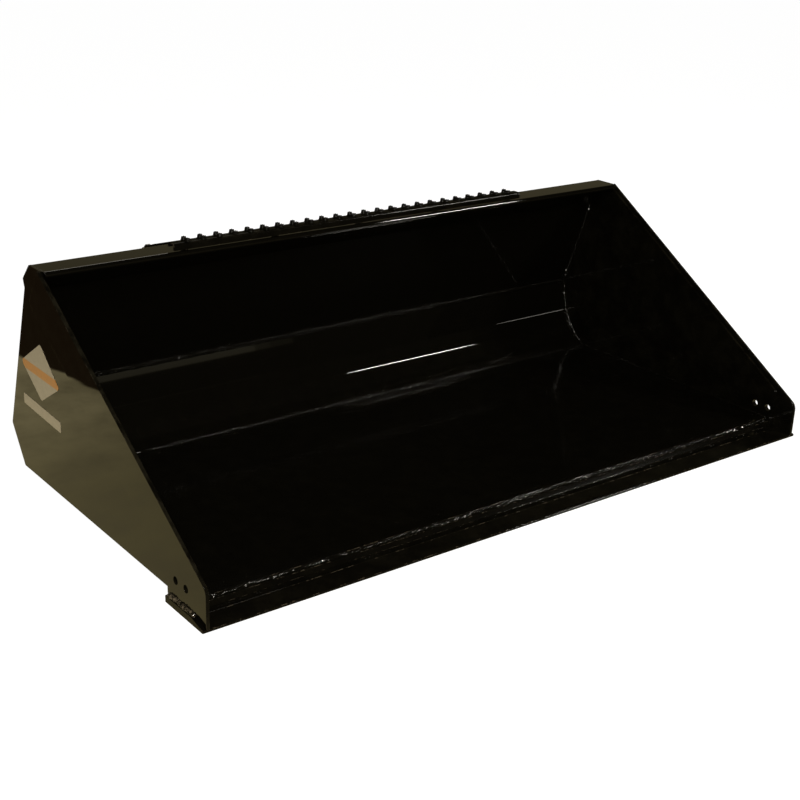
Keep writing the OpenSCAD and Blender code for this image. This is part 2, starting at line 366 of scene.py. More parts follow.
@dataclass(frozen=True)
class GlossPaint:
    """Sprayed gloss black paint over steel.

    Attributes:
        name: The material's name.
        colour: Paint colour.
        dust_colour: Colour of the dust on it.
        bare: Colour of what shows where paint is rubbed or has browned.
        rough: Roughness under the clear top of the paint.
        haze: Extra roughness in cloudy patches.
        coat: Strength of the wet-looking top.
        coat_rough: Roughness of the wet-looking top.
        specular: Specular level under the top.
        peel: Height of the orange peel.
        wave: Height of the plate's waviness.
        depth: Depth of the bump, in metres.
        dust: Amount of dust.
        rub: Amount of rubbing on the rims.
        scuff: Amount of long scuffs.
        brown: How much of the surface has browned, as on hot welds.
    """

    name: str
    colour: Colour = (0.0016, 0.0014, 0.0009, 1.0)
    dust_colour: Colour = (0.13, 0.115, 0.07, 1.0)
    bare: Colour = (0.16, 0.13, 0.09, 1.0)
    rough: float = 0.26
    haze: float = 0.10
    coat: float = 1.0
    coat_rough: float = 0.025
    specular: float = 0.0
    peel: float = 0.07
    wave: float = 1.6
    depth: float = 0.00012
    dust: float = 0.006
    rub: float = 0.3
    scuff: float = 0.06
    brown: float = 0.0

    def build(self, shelf: GroupShelf) -> bpy.types.Material:
        """Builds the material.

        Args:
            shelf: The shared node groups.

        Returns:
            The material.
        """
        material, sheet, shader = fresh_material(self.name)
        peel = self._place(sheet, shelf.peel, {"Peel": self.peel, "Wave": self.wave})
        dust = self._place(sheet, shelf.dust, {"Amount": self.dust})
        rub = self._place(sheet, shelf.rub, {"Amount": self.rub})
        scuff = self._place(sheet, shelf.scuff, {"Amount": self.scuff})
        where = sheet.here()
        colour = sheet.blend(dust.outputs["Mask"], self.colour, self.dust_colour)
        if self.brown > 0.0:
            burnt = sheet.ramp(sheet.noise(where, 130.0, 4.0, 0.7), 0.45, 0.62)
            colour = sheet.blend(sheet.times(burnt, self.brown), colour, self.bare)
        colour = sheet.blend(rub.outputs["Mask"], colour, self.bare)
        sheet.join(colour, shader.inputs["Base Color"])
        hazed = sheet.times(peel.outputs["Haze"], self.haze)
        matt = sheet.plus(hazed, self.rough)
        matt = sheet.plus(matt, sheet.times(dust.outputs["Mask"], 0.5))
        matt = sheet.plus(matt, sheet.times(scuff.outputs["Mask"], 0.4))
        sheet.join(matt, shader.inputs["Roughness"])
        worn = sheet.most(dust.outputs["Mask"], rub.outputs["Mask"])
        worn = sheet.most(worn, scuff.outputs["Mask"])
        sheet.join(sheet.math("SUBTRACT", self.coat, worn), shader.inputs["Coat Weight"])
        shader.inputs["Coat Roughness"].default_value = self.coat_rough
        shader.inputs["Specular IOR Level"].default_value = self.specular
        sheet.emboss(shader, peel.outputs["Height"], self.depth)
        return material

    @staticmethod
    def _place(sheet: NodeSheet, group: bpy.types.NodeTree, values: dict[str, float]) -> bpy.types.Node:
        """Places a shared group in the material with its own values.

        Args:
            sheet: The material's sheet.
            group: The shared group.
            values: Input values by name.

        Returns:
            The group node.
        """
        node = sheet.add("ShaderNodeGroup", group.name, node_tree=group)
        for key, value in values.items():
            node.inputs[key].default_value = value
        return node


@dataclass(frozen=True)
class Vinyl:
    """Plain pale vinyl film, with an amber band where one is asked for.

    Attributes:
        name: The material's name.
        pale: Colour of the film.
        amber: Colour of the band.
        grime: Colour of the dirt on it.
        dirt: Amount of dirt.
        dirt_scale: Fineness of the dirt's patches.
        soft: Half the width of the band's edge.
        depth: Depth of the film's grain.
        band: Low and high edge of the band along Z, in metres, or None.
    """

    name: str
    pale: Colour = (0.42, 0.36, 0.25, 1.0)
    amber: Colour = (0.55, 0.24, 0.05, 1.0)
    grime: Colour = (0.24, 0.20, 0.13, 1.0)
    dirt: float = 0.9
    dirt_scale: float = 60.0
    soft: float = 0.6 * MM
    depth: float = 0.03 * MM
    band: tuple[float, float] | None = None

    def build(self, shelf: GroupShelf) -> bpy.types.Material:
        """Builds the material.

        Args:
            shelf: The shared node groups.

        Returns:
            The material.
        """
        material, sheet, shader = fresh_material(self.name)
        dust = sheet.add("ShaderNodeGroup", node_tree=shelf.dust)
        dust.inputs["Amount"].default_value = self.dirt
        dust.inputs["Scale"].default_value = self.dirt_scale
        where = sheet.here()
        colour = self.pale
        if self.band is not None:
            height = sheet.split(where)["Z"]
            low, high = self.band
            above = sheet.ramp(height, low - self.soft, low + self.soft)
            below = sheet.ramp(height, high + self.soft, high - self.soft)
            colour = sheet.blend(sheet.times(above, below), self.pale, self.amber)
        sheet.join(sheet.blend(dust.outputs["Mask"], colour, self.grime), shader.inputs["Base Color"])
        grain = sheet.noise(where, 500.0, 2.0)
        sheet.join(sheet.plus(sheet.times(grain, 0.2), 0.3), shader.inputs["Roughness"])
        sheet.emboss(shader, grain, self.depth)
        return material


class PaintShop:
    """Every finish of the bucket, built once."""

    def __init__(self, band: tuple[float, float]) -> None:
        """Builds the materials.

        Args:
            band: Low and high edge of the label's amber band, in metres.
        """
        shelf = GroupShelf()
        self.shell = GlossPaint("gloss black plate").build(shelf)
        self.floor = GlossPaint("worn black floor", coat_rough=0.10).build(shelf)
        self.outside = GlossPaint("gloss black side", dust=0.07, wave=4.0, rub=0.1).build(shelf)
        self.edge = GlossPaint(
            "scuffed black edge",
            rough=0.34, dust=0.015, scuff=0.4, rub=0.2, peel=0.25, coat=0.6, coat_rough=0.07,
        ).build(shelf)
        self.step = GlossPaint(
            "worn black grip", dust=0.05, rub=0.4, peel=0.5, scuff=0.15, coat=0.25, coat_rough=0.12
        ).build(shelf)
        bead = {"rub": 0.0, "scuff": 0.0, "wave": 0.0, "peel": 0.4, "dust": 0.01}
        gloss = bead | {"rough": 0.18, "coat": 0.6, "coat_rough": 0.05}
        dull = bead | {"rough": 0.30, "peel": 0.6, "coat": 0.3, "coat_rough": 0.12}
        hot = bead | {"rough": 0.25, "dust": 0.06, "brown": 0.6}
        self.weld = GlossPaint("gloss black weld", **gloss).build(shelf)
        self.dull_weld = GlossPaint("dull black weld", **dull).build(shelf)
        self.hot_weld = GlossPaint("browned weld", **hot).build(shelf)
        self.label = Vinyl("pale label", band=band).build(shelf)
        self.stripe = Vinyl("pale stripe").build(shelf)


# ---------------------------------------------------------------- mesh work


class Bench:
    """Turns finished meshes into pieces that ride on the bucket."""

    def __init__(self) -> None:
        """Starts with nothing made."""
        self.made: list[bpy.types.Object] = []

    def piece(
        self,
        name: str,
        mesh: bmesh.types.BMesh,
        finish: bpy.types.Material,
        slot: Slot,
        stands_for: Iterable[str] = (),
        even: bool = True,
    ) -> bpy.types.Object:
        """Makes one piece from a mesh and frees the mesh.

        Args:
            name: The piece's name.
            mesh: The finished mesh, in metres.
            finish: Its material.
            slot: The record's slot it belongs to. Not used.
            stands_for: CAD nodes it replaces.
            even: Whether flat faces keep their own normals beside bevels.

        Returns:
            The new object.
        """
        data = bpy.data.meshes.new(name)
        for face in mesh.faces:
            face.smooth = True
        mesh.to_mesh(data)
        mesh.free()
        data.materials.append(finish)
        thing = bpy.data.objects.new(name, data)
        bpy.context.scene.collection.objects.link(thing)
        if even:
            normals = thing.modifiers.new("even normals", "WEIGHTED_NORMAL")
            normals.keep_sharp = True
            normals.weight = 50
        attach(thing, BODY)
        names = tuple(stands_for)
        if names:
            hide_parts(*names)
        self.made.append(thing)
        log.info("%s: %d faces", name, len(data.polygons))
        return thing


@dataclass(frozen=True)
class PlateCut:
    """How a cut or bent plate's edges are eased.

    Attributes:
        ease: Width of the eased edge, in metres.
        segments: Segments across it.
        sharp: Edges that turn by more than this many degrees are eased.
    """

    ease: float = 0.9 * MM
    segments: int = 2
    sharp: float = 28.0

    def dress(self, node: str) -> bmesh.types.BMesh:
        """Copies a CAD node's mesh, cleans it and eases its edges.

        Args:
            node: The CAD node.

        Returns:
            The new mesh, with its eased faces marked in the rim layer.
        """
        mesh = bmesh.new()
        mesh.from_mesh(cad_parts[node].data)
        bmesh.ops.remove_doubles(mesh, verts=mesh.verts, dist=0.02 * MM)
        flat = math.radians(0.4)
        bmesh.ops.dissolve_limit(mesh, angle_limit=flat, verts=mesh.verts, edges=mesh.edges)
        rim = mesh.faces.layers.float.new("rim")
        limit = math.radians(self.sharp)
        hard = [e for e in mesh.edges if len(e.link_faces) == 2 and e.calc_face_angle(0.0) > limit]
        eased = bmesh.ops.bevel(
            mesh,
            geom=hard,
            offset=self.ease,
            offset_type="OFFSET",
            segments=self.segments,
            profile=0.5,
            affect="EDGES",
            clamp_overlap=True,
            material=-1,
        )
        for face in eased["faces"]:
            face[rim] = 1.0
        return mesh


@dataclass(frozen=True)
class WeldStyle:
    """The look of one kind of fillet weld.

    Attributes:
        leg: Length of each leg of the fillet.
        crown: How far the bead stands out from the flat between its toes.
        pitch: Distance from one ripple to the next.
        ripple: Height of a ripple.
        lump: Height of the uneven lumps between ripples.
        wander: How much the width changes along the bead, as a share.
        step: Distance between sections along the bead.
    """

    leg: float = 6.0 * MM
    crown: float = 1.5 * MM
    pitch: float = 9.5 * MM
    ripple: float = 1.3 * MM
    lump: float = 1.6 * MM
    wander: float = 0.22
    step: float = 1.5 * MM


@dataclass
class Run:
    """The line a weld follows in its corner.

    Attributes:
        points: Points of the corner's root.
        leg_a: Direction along the first plate, at each point.
        leg_b: Direction along the second plate, at each point.
    """

    points: list[Vector]
    leg_a: list[Vector]
    leg_b: list[Vector]

    @classmethod
    def straight(cls, start: Vector, end: Vector, leg_a: Vector, leg_b: Vector) -> "Run":
        """A straight run.

        Args:
            start: Root at one end.
            end: Root at the other end.
            leg_a: Direction along the first plate.
            leg_b: Direction along the second plate.

        Returns:
            The run.
        """
        return cls([start, end], [leg_a, leg_a], [leg_b, leg_b])

    def length(self) -> float:
        """The run's whole length."""
        return sum((b - a).length for a, b in zip(self.points, self.points[1:]))

    def at(self, distance: float) -> tuple[Vector, Vector, Vector]:
        """Root and leg directions at a distance along the run.

        Args:
            distance: Distance from the start.

        Returns:
            The root point and the two leg directions.
        """
        left = distance
        for i, (a, b) in enumerate(zip(self.points, self.points[1:])):
            span = (b - a).length
            if left <= span or i == len(self.points) - 2:
                t = min(1.0, left / span)
                turn_a = self.leg_a[i].lerp(self.leg_a[i + 1], t).normalized()
                turn_b = self.leg_b[i].lerp(self.leg_b[i + 1], t).normalized()
                return a.lerp(b, t), turn_a, turn_b
            left -= span
        raise ValueError("empty run")


class Welder:
    """Lays rippled weld beads.

    Attributes:
        ARC: Faces across a bead's crown.
        ROOT: Faces across its root.
        END: Length over which a bead's ends are rounded.
        SINK: How far its root lies inside the plates.
        TUCK: How far its root's corners reach along the legs, as a share.
        SLOW: Distance over which the width drifts.
        QUICK: Distance over which it trembles.
        BEAT: Distance over which the ripples bunch and spread.
        TILT: Distance over which the crown leans from leg to leg.
        FADE: Distance over which the ripples' height changes.
        LUMP: Length of one lump.
        BUNCH: How much the ripples bunch, in ripples.
        CURVE: How far a ripple's middle runs ahead of its ends, in ripples.
        LEAN: How strongly the crown leans.
    """

    ARC = 8
    ROOT = 4
    END = 5.0 * MM
    SINK = 0.25 * MM
    TUCK = 0.8
    SLOW = 26.0 * MM
    QUICK = 9.0 * MM
    BEAT = 15.0 * MM
    TILT = 17.0 * MM
    FADE = 19.0 * MM
    LUMP = 7.0 * MM
    BUNCH = 0.45
    CURVE = 0.45
    LEAN = 1.4

    def __init__(self, seed: int) -> None:
        """Starts a welder.

        Args:
            seed: Seed of the welder's unsteadiness.
        """
        self.dice = random.Random(seed)

    def lay(self, runs: Iterable[Run], style: WeldStyle) -> bmesh.types.BMesh:
        """Lays one bead on each run.

        Args:
            runs: Where the beads go.
            style: Their look.

        Returns:
            All the beads as one mesh.
        """
        whole = bmesh.new()
        for run in runs:
            bead = self._bead(run, style)
            held = bpy.data.meshes.new("bead")
            bead.to_mesh(held)
            bead.free()
            whole.from_mesh(held)
            bpy.data.meshes.remove(held)
        bmesh.ops.recalc_face_normals(whole, faces=whole.faces)
        return whole

    def _bead(self, run: Run, style: WeldStyle) -> bmesh.types.BMesh:
        """One bead, drawn from a plain tube whose sections are moved into place.

        Args:
            run: Where the bead goes.
            style: Its look.

        Returns:
            The bead's mesh.
        """
        around = self.ARC + self.ROOT
        total = run.length()
        stations = max(6, round(total / style.step))
        tube = bmesh.new()
        bmesh.ops.create_cone(
            tube, cap_ends=True, cap_tris=False, segments=around, radius1=1.0, radius2=1.0, depth=1.0
        )
        long = [e for e in tube.edges if abs(e.verts[0].co.z - e.verts[1].co.z) > 0.5]
        bmesh.ops.subdivide_edges(tube, edges=long, cuts=stations, use_grid_fill=True)
        seed = self.dice.uniform(0.0, 900.0)
        sections: dict[int, Callable[[int], Vector]] = {}
        for vert in tube.verts:
            share = vert.co.z + 0.5
            index = round(math.atan2(vert.co.y, vert.co.x) / math.tau * around) % around
            station = round(share * (stations + 1))
            if station not in sections:
                sections[station] = self._section(run, style, share * total, total, seed)
            vert.co = sections[station](index)
        return tube

    def _section(
        self, run: Run, style: WeldStyle, distance: float, total: float, seed: float
    ) -> Callable[[int], Vector]:
        """The shape of the bead at one distance along it.

        Args:
            run: Where the bead goes.
            style: Its look.
            distance: Distance from the bead's start.
            total: The bead's length.
            seed: Offset into the noise.

        Returns:
            A function from a place around the section to its point.
        """
        root, side_a, side_b = run.at(distance)
        out = (side_a + side_b).normalized()

        def drift(length: float, layer: float) -> float:
            """The welder's unsteadiness over one length, from its own layer of noise."""
            return noise.noise(Vector((distance / length, seed, layer)))

        slow = drift(self.SLOW, 0.0)
        quick = drift(self.QUICK, 7.0)
        swell = 1.0 + style.wander * (slow + 0.5 * quick)
        near = min(distance, total - distance)
        short = max(0.0, 1.0 - near / self.END)
        round_off = math.sqrt(max(0.02, 1.0 - short**2))
        leg_a = style.leg * swell * round_off
        leg_b = style.leg * (2.0 - swell) * round_off
        crown = style.crown * (1.0 + 0.5 * slow) * round_off
        beat = distance / style.pitch + self.BUNCH * drift(self.BEAT, 3.0)
        skew = 2.0 ** (self.LEAN * drift(self.TILT, 5.0))
        lift = style.ripple * max(0.1, 0.8 + 1.5 * drift(self.FADE, 9.0))

        def point(index: int) -> Vector:
            """The section's point at one place around it.

            Args:
                index: Step around the section, over the crown first and then the root.

            Returns:
                The point.
            """
            if index <= self.ARC:
                v = index / self.ARC
                belly = math.sin(math.pi * v**skew)
                phase = beat + self.CURVE * belly
                crest = 0.5 - 0.5 * math.cos(math.tau * phase)
                spot = Vector((distance / self.LUMP, v * 1.6, seed))
                uneven = lift * crest + style.lump * noise.noise(spot)
                height = crown * belly + uneven * belly**0.5 * round_off
                return root + side_a * leg_a * (1.0 - v) + side_b * leg_b * v + out * height
            turn = index - self.ARC
            if turn == 1:
                return root + side_b * leg_b * self.TUCK - out * self.SINK
            if turn == 2:
                return root - out * self.SINK
            return root + side_a * leg_a * self.TUCK - out * self.SINK

        return point

    def spatter(self, spots: Iterable[tuple[Vector, Vector]]) -> bmesh.types.BMesh:
        """Small frozen drops thrown from the welds.

        Args:
            spots: Place on a plate and the plate's normal, for each drop.

        Returns:
            All the drops as one mesh.
        """
        drops = bmesh.new()
        for place, normal in spots:
            radius = self.dice.uniform(0.5, 1.5) * MM
            turn = Vector((0.0, 0.0, 1.0)).rotation_difference(normal).to_matrix().to_4x4()
            squash = Matrix.Diagonal((radius, radius * self.dice.uniform(0.8, 1.2), radius * 0.7, 1.0))
            matrix = Matrix.Translation(place) @ turn @ squash
            bmesh.ops.create_icosphere(drops, subdivisions=2, radius=1.0, matrix=matrix)
        return drops


# ---------------------------------------------------------------- sub-assemblies


@dataclass
class Workshop:
    """What every sub-assembly is made with.

    Attributes:
        bench: Finishes meshes as pieces.
        paint: The finishes.
        welder: Lays the beads.
    """

    bench: Bench
    paint: PaintShop
    welder: Welder

    def plate(
        self,
        name: str,
        node: str,
        cut: PlateCut,
        finish: bpy.types.Material,
        slot: Slot = Slot.SHELL,
    ) -> None:
        """Dresses one CAD node as a plate and makes it a piece.

        Args:
            name: The piece's name.
            node: The CAD node it replaces.
            cut: How its edges are eased.
            finish: Its material.
            slot: The record's slot it belongs to.
        """
        self.bench.piece(name, cut.dress(node), finish, slot, [node])

    def bead(
        self,
        name: str,
        node: str,
        runs: Iterable[Run],
        style: WeldStyle,
        finish: bpy.types.Material | None = None,
    ) -> None:
        """Lays the beads that stand for one CAD node and makes them a piece.

        Args:
            name: The piece's name.
            node: The CAD node it replaces.
            runs: Where the beads go.
            style: Their look.
            finish: Their material, gloss weld where none is given.
        """
        laid = self.welder.lay(runs, style)
        self.bench.piece(name, laid, finish or self.paint.weld, Slot.WELD, [node], even=False)


def rounded_path(points: list[Vector], radius: float, steps: int = 4) -> list[Vector]:
    """A path whose inner corners are rounded.

    Args:
        points: The path's corners.
        radius: Bend radius.
        steps: Segments in each bend.

    Returns:
        The rounded path.
    """
    out = [points[0]]
    for before, corner, after in zip(points, points[1:], points[2:]):
        back = (before - corner).normalized()
        on = (after - corner).normalized()
        half = back.angle(on) / 2
        reach = radius / math.tan(half)
        start = corner + back * reach
        end = corner + on * reach
        for k in range(steps + 1):
            t = k / steps
            out.append(start.lerp(corner, t).lerp(corner.lerp(end, t), t))
    out.append(points[-1])
    return out


@dataclass
class SubAssembly:
    """A part of the bucket that is made in the workshop.

    Attributes:
        shop: Where its pieces are made.
    """

    shop: Workshop


@dataclass
class Shell(SubAssembly):
    """Floor, heel, back and the two sides, with the welds between them.

    Attributes:
        plate: Plate thickness.
        heel_runs: Lengths of the heel's flats.
        heel_slopes: Their slopes, in degrees.
        lean: Lean of the back, in degrees.
        bend: Inside radius of the heel's bends.
        leg: Leg of the fillet welds.
        plates: CAD nodes dressed as plain plates.
    """

    plate: float = 6.35 * MM
    heel_runs: tuple[float, ...] = (38 * MM, 46 * MM, 46 * MM, 92 * MM)
    heel_slopes: tuple[float, ...] = (30.0, 46.0, 62.0, 76.5)
    lean: float = BACK_LEAN
    bend: float = 12.0 * MM
    leg: float = 6.0 * MM
    plates: tuple[str, ...] = ("floor_plate", "heel_plate", "back_plate", "top_rail")

    def profile(self) -> list[Vector]:
        """Corners of the shell's inner face, from the floor's front to the rail.

        Returns:
            Points with x at 0.
        """
        low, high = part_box("floor_plate")
        path = [Vector((0.0, low.y, high.z)), Vector((0.0, high.y, high.z))]
        for run, slope in zip(self.heel_runs, self.heel_slopes):
            angle = math.radians(slope)
            path.append(path[-1] + Vector((0.0, math.cos(angle), math.sin(angle))) * run)
        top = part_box("weld_inside_left")[1].z
        rise = top - path[-1].z
        path.append(path[-1] + Vector((0.0, -math.tan(math.radians(self.lean)), 1.0)) * rise)
        return path

    def build(self) -> None:
        """Builds the shell's pieces."""
        cut = PlateCut()
        for node in self.plates:
            finish = self.shop.paint.floor if node == "floor_plate" else self.shop.paint.shell
            self.shop.plate(f"{node}_plate", node, cut, finish)
        for side in Side:
            node = f"side_plate_{side.word}"
            self.shop.plate(f"{node}_painted", node, cut, self.shop.paint.outside)
        self._cross_welds()
        for side in Side:
            self._inside_weld(side)

    def _cross_welds(self) -> None:
        """Lays the three welds that run across the bucket."""
        path = self.profile()
        low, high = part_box("weld_floor_front")
        front = Vector((0.0, high.y, low.z))
        slopes = {"weld_floor_front": (front, Vector((0, -1, 0)), Vector((0, 0, 1)), 1.0)}
        for node, i in (("weld_floor_heel", 1), ("weld_heel_back", 5)):
            before = (path[i - 1] - path[i]).normalized()
            after = (path[i + 1] - path[i]).normalized()
            slopes[node] = (path[i], before, after, 1.1)
        for node, (root, leg_a, leg_b, crown) in slopes.items():
            box_low, box_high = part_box(node)
            start = Vector((box_low.x, root.y, root.z))
            end = Vector((box_high.x, root.y, root.z))
            style = WeldStyle(leg=self.leg, crown=crown * MM)
            finish = self.shop.paint.dull_weld if node == "weld_heel_back" else self.shop.paint.weld
            self.shop.bead(f"{node}_bead", node, [Run.straight(start, end, leg_a, leg_b)], style, finish)

    def _inside_weld(self, side: Side) -> None:
        """Lays the weld that follows the shell along one side plate.

        Args:
            side: Which end.
        """
        node = f"weld_inside_{side.word}"
        low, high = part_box(node)
        x = low.x if side is Side.LEFT else high.x
        path = rounded_path(self.profile(), self.bend)
        points = [Vector((x, p.y, p.z)) for p in path]
        inward = Vector((-side.value, 0.0, 0.0))
        ups = []
        for i in range(len(points)):
            before = points[max(0, i - 1)]
            after = points[min(len(points) - 1, i + 1)]
            along = (after - before).normalized()
            ups.append(Vector((0.0, -along.z, along.y)))
        run = Run(points, [inward] * len(points), ups)
        style = WeldStyle(leg=self.leg, crown=1.3 * MM, pitch=10.0 * MM)
        self.shop.bead(f"{node}_bead", node, [run], style)


@dataclass
class WearingFront(SubAssembly):
    """Cutting edge, side cutters, wear bars and the welds that hold them.

    Attributes:
        bars: Number of wear bars.
        ledge_leg: Leg of the weld on the cutting edge's ends.
        cutter_leg: Leg of the weld behind a side cutter.
        bar_leg: Leg of the wear bars' welds.
    """

    bars: int = 4
    ledge_leg: float = 7.0 * MM
    cutter_leg: float = 5.0 * MM
    bar_leg: float = 6.0 * MM

    def build(self) -> None:
        """Builds the front's pieces."""
        thick = PlateCut(ease=1.2 * MM, segments=3, sharp=8.0)
        cutter = PlateCut(ease=1.0 * MM, segments=2)
        self.shop.plate("cutting_edge_bar", "cutting_edge", thick, self.shop.paint.edge, Slot.EDGE)
        self.shop.plate("lip_plate_painted", "lip_plate", cutter, self.shop.paint.edge, Slot.EDGE)
        for i in range(1, self.bars + 1):
            node = f"wear_bar_{i}"
            self.shop.plate(f"{node}_pad", node, cutter, self.shop.paint.edge)
        for side in Side:
            node = f"side_cutter_{side.word}"
            self.shop.plate(f"{node}_painted", node, cutter, self.shop.paint.outside)
            self._ledge_weld(side)
            self._cutter_weld(side)
        self._bar_welds()

    def _ledge_weld(self, side: Side) -> None:
        """Lays the weld between a side cutter and the cutting edge.

        Args:
            side: Which end.
        """
        node = f"weld_ledge_{side.word}"
        low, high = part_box(node)
        x = high.x if side is Side.LEFT else low.x
        outward = Vector((side.value, 0.0, 0.0))
        start = Vector((x, low.y, low.z))
        end = Vector((x, high.y, low.z))
        run = Run.straight(start, end, outward, Vector((0, 0, 1)))
        style = WeldStyle(leg=self.ledge_leg, crown=1.0 * MM, pitch=8.5 * MM, ripple=1.5 * MM, wander=0.3)
        self.shop.bead(f"{node}_bead", node, [run], style, self.shop.paint.hot_weld)

    def _cutter_weld(self, side: Side) -> None:
        """Lays the weld along a side cutter's slanted rear edge.

        Args:
            side: Which end.
        """
        node = f"weld_cutter_{side.word}"
        low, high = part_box(node)
        x = high.x if side is Side.LEFT else low.x
        rise = high.z - low.z
        reach = high.y - low.y
        angle = math.atan2(rise, reach)
        along = Vector((0.0, math.cos(angle), math.sin(angle)))
        down = Vector((0.0, math.sin(angle), -math.cos(angle)))
        start = Vector((x, low.y, low.z)) - down * self.cutter_leg
        end = start + along * (rise - self.cutter_leg) / math.sin(angle)
        run = Run.straight(start, end, Vector((side.value, 0.0, 0.0)), down)
        fine = {"crown": 0.8 * MM, "pitch": 6.0 * MM, "ripple": 0.6 * MM, "step": 2.0 * MM}
        style = WeldStyle(leg=self.cutter_leg, **fine)
        self.shop.bead(f"{node}_bead", node, [run], style)

    def _bar_welds(self) -> None:
        """Lays the welds along both sides of each wear bar, under the floor."""
        low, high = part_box("weld_wear_bars")
        runs = []
        for i in range(1, self.bars + 1):
            bar_low, bar_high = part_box(f"wear_bar_{i}")
            for x, way in ((bar_low.x, -1.0), (bar_high.x, 1.0)):
                start = Vector((x, low.y, high.z))
                end = Vector((x, high.y, high.z))
                runs.append(Run.straight(start, end, Vector((way, 0, 0)), Vector((0, 0, -1))))
        style = WeldStyle(leg=self.bar_leg, crown=1.2 * MM, step=2.5 * MM)
        self.shop.bead("wear_bar_beads", "weld_wear_bars", runs, style)


@dataclass
class GripStep(SubAssembly):
    """The raised step on the top rail, with its pressed grip teeth.

    Attributes:
        foot: Radius of a tooth at the deck.
        neck: Radius at its top.
        bore: Radius of the hole pressed through it.
        serrations: Points around its top.
        pitch: Distance between teeth along the step.
        inset: Distance of each row from the deck's edge.
    """

    foot: float = 8.0 * MM
    neck: float = 6.0 * MM
    bore: float = 3.6 * MM
    serrations: int = 12
    pitch: float = 43.8 * MM
    inset: float = 6.0 * MM

    def build(self) -> None:
        """Builds the step's pieces."""
        cut = PlateCut(ease=0.7 * MM)
        self.shop.plate("step_tread_plate", "step_tread", cut, self.shop.paint.step, Slot.STEP)
        self.shop.plate("step_feet_flats", "step_feet", cut, self.shop.paint.shell)
        self.shop.bench.piece(
            "step_grip_teeth", self._teeth(), self.shop.paint.step, Slot.STEP, ["step_teeth"], even=False
        )
        low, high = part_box("weld_step")
        feet = self._feet()
        runs = []
        for x in feet:
            start = Vector((x, low.y, low.z))
            end = Vector((x, high.y, low.z))
            runs.append(Run.straight(start, end, Vector((1, 0, 0)), Vector((0, 0, 1))))
        style = WeldStyle(leg=4.0 * MM, crown=0.6 * MM, pitch=5.0 * MM, ripple=0.5 * MM)
        self.shop.bead("step_foot_beads", "weld_step", runs, style)

    @staticmethod
    def _feet() -> list[float]:
        """Right-hand faces of the step's feet, read from the CAD mesh.

        Returns:
            The X of each foot's right-hand face.
        """
        places = sorted({round(v.co.x, 4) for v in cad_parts["step_feet"].data.vertices})
        return places[1::2]

    def _teeth(self) -> bmesh.types.BMesh:
        """All the grip teeth: flared, open at the top and serrated round the lip.

        Returns:
            The mesh.
        """
        low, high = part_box("step_teeth")
        rise = high.z - low.z
        profile = [
            (self.foot, 0.0),
            (self.foot * 0.86, rise * 0.16),
            (self.neck * 1.08, rise * 0.55),
            (self.neck, rise * 0.9),
            (self.neck * 0.84, rise),
            (self.bore * 1.1, rise * 0.96),
            (self.bore, rise * 0.6),
            (self.bore * 0.9, rise * 0.12),
            (0.0, rise * 0.1),
        ]
        tooth = bmesh.new()
        verts = [tooth.verts.new((r, 0.0, z)) for r, z in profile]
        edges = [tooth.edges.new(pair) for pair in zip(verts, verts[1:])]
        bmesh.ops.spin(
            tooth,
            geom=verts + edges,
            cent=(0, 0, 0),
            axis=(0, 0, 1),
            angle=math.tau,
            steps=self.serrations,
            use_merge=True,
        )
        bmesh.ops.remove_doubles(tooth, verts=tooth.verts, dist=0.05 * MM)
        foot = [e for e in tooth.edges if e.is_boundary]
        bmesh.ops.holes_fill(tooth, edges=foot, sides=self.serrations + 2)
        bmesh.ops.recalc_face_normals(tooth, faces=tooth.faces)
        for vert in tooth.verts:
            if vert.co.z > rise * 0.85:
                turn = round(math.atan2(vert.co.y, vert.co.x) / math.tau * self.serrations)
                vert.co.z -= rise * (0.16 if turn % 2 else 0.0)
        held = bpy.data.meshes.new("tooth")
        tooth.to_mesh(held)
        tooth.free()
        row = bmesh.new()
        count = 1 + round((high.x - low.x - 2 * self.foot) / self.pitch)
        middle = (low.x + high.x) / 2
        deck_low, deck_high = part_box("step_tread")
        for i in range(count):
            x = middle + (i - (count - 1) / 2) * self.pitch
            for y in (deck_low.y + self.inset, deck_high.y - self.inset):
                start = len(row.verts)
                row.from_mesh(held)
                row.verts.ensure_lookup_table()
                bmesh.ops.translate(row, verts=row.verts[start:], vec=(x, y, low.z))
        bpy.data.meshes.remove(held)
        return row


@dataclass
class QuickAttach(SubAssembly):
    """Saddle, lower plate, gussets and ribs on the bucket's back.

    Attributes:
        nodes: CAD nodes dressed as plates.
        leg: Leg of the fillet welds.
        lean: Lean of the back, in degrees.
    """

    nodes: tuple[str, ...] = (
        "mount_gusset_left",
        "mount_gusset_right",
        "mount_rib_left",
        "mount_rib_right",
        "mount_saddle",
        "mount_lower_plate",
    )
    leg: float = 6.0 * MM
    lean: float = BACK_LEAN

    def build(self) -> None:
        """Builds the quick-attach's pieces."""
        cut = PlateCut(ease=1.0 * MM, segments=2)
        for node in self.nodes:
            self.shop.plate(f"{node}_painted", node, cut, self.shop.paint.shell)
        low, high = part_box("weld_mount")
        angle = math.radians(self.lean)
        up = Vector((0.0, -math.sin(angle), math.cos(angle)))
        out = Vector((0.0, math.cos(angle), math.sin(angle)))
        rise = (high.z - low.z - self.leg * math.sin(angle)) / math.cos(angle)
        foot = Vector((0.0, high.y, low.z)) - out * self.leg
        foot.z = low.z
        runs = []
        for node in self.nodes[:4]:
            face_low, face_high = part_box(node)
            for x, way in ((face_low.x, -1.0), (face_high.x, 1.0)):
                start = Vector((x, foot.y, foot.z))
                runs.append(Run.straight(start, start + up * rise, Vector((way, 0, 0)), out))
        style = WeldStyle(leg=self.leg, crown=1.2 * MM, step=2.0 * MM)
        self.shop.bead("mount_beads", "weld_mount", runs, style)


